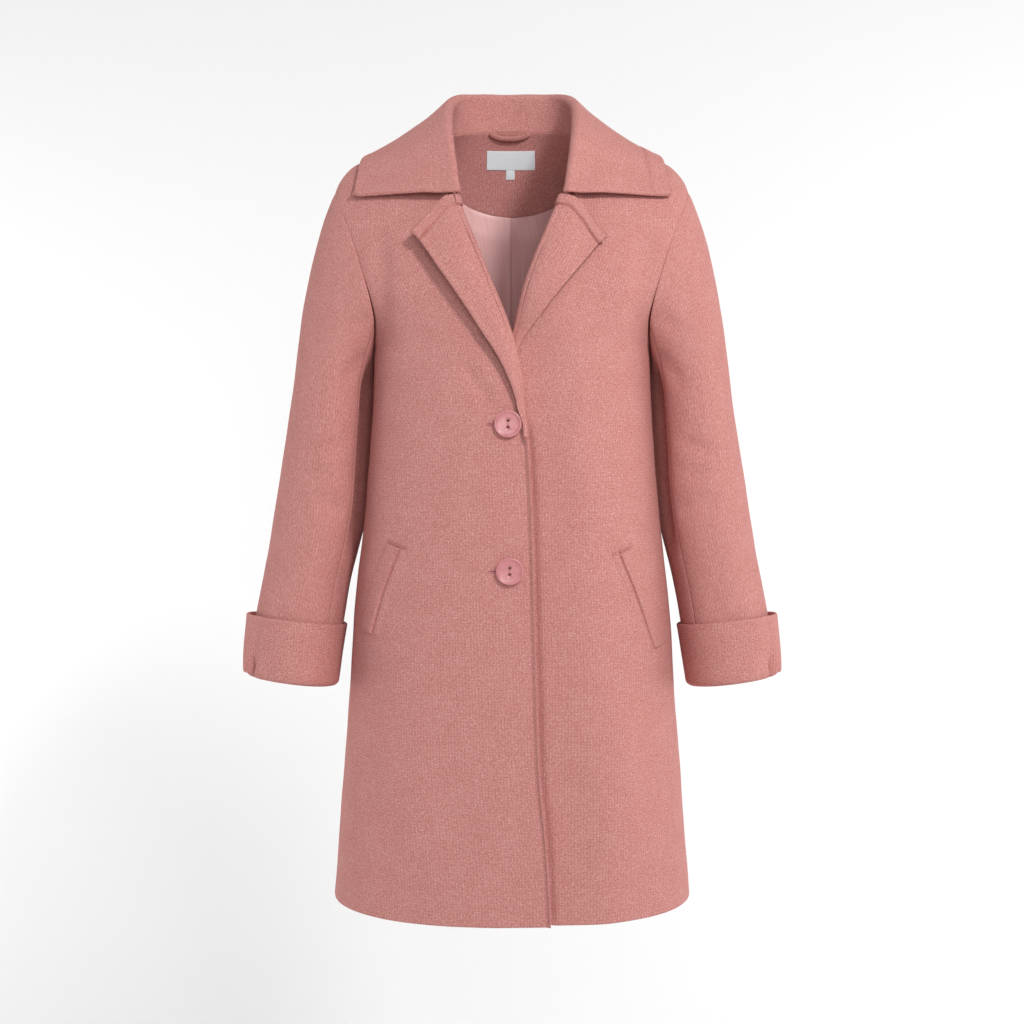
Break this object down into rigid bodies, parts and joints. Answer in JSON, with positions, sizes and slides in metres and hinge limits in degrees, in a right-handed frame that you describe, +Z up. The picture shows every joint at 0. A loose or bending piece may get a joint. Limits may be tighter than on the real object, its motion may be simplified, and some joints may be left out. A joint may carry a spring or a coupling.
{
  "type": "notched-collar wool coat",
  "caption": "Knee-length single-breasted wool coat in its worn shape, hollow, with a wide notched collar and lapels, slanted welt pockets and turned-back cuffs.",
  "frame": {"origin": "the middle of the wearer's neck base, between the two neck points, where the shoulders carry the coat", "axes": "+Z up the wearer's spine, -Y out of the wearer's chest, +X to the wearer's left"},
  "size_m": [0.6104, 0.3022, 0.9423],
  "materials": {
    "wool": "matte boiled wool melange",
    "lining_satin": "soft satin",
    "label_cloth": "smooth woven, bare",
    "button_resin": "half-gloss cast resin"
  },
  "bodies": {
    "root": {"front_right": "wool", "front_left": "wool", "back": "wool", "upper_sleeve_right": "wool", "upper_sleeve_left": "wool", "under_sleeve_right": "wool", "under_sleeve_left": "wool", "cuff_right": "wool", "cuff_left": "wool", "collar": "wool", "lapel_right": "wool", "lapel_left": "wool", "pocket_welt_right": "wool", "pocket_welt_left": "wool", "neck_facing": "wool", "back_lining": "lining_satin", "neck_label": "label_cloth", "size_tab": "label_cloth", "hanger_loop": "wool", "button_upper": "button_resin", "button_lower": "button_resin"}
  },
  "joints": []
}
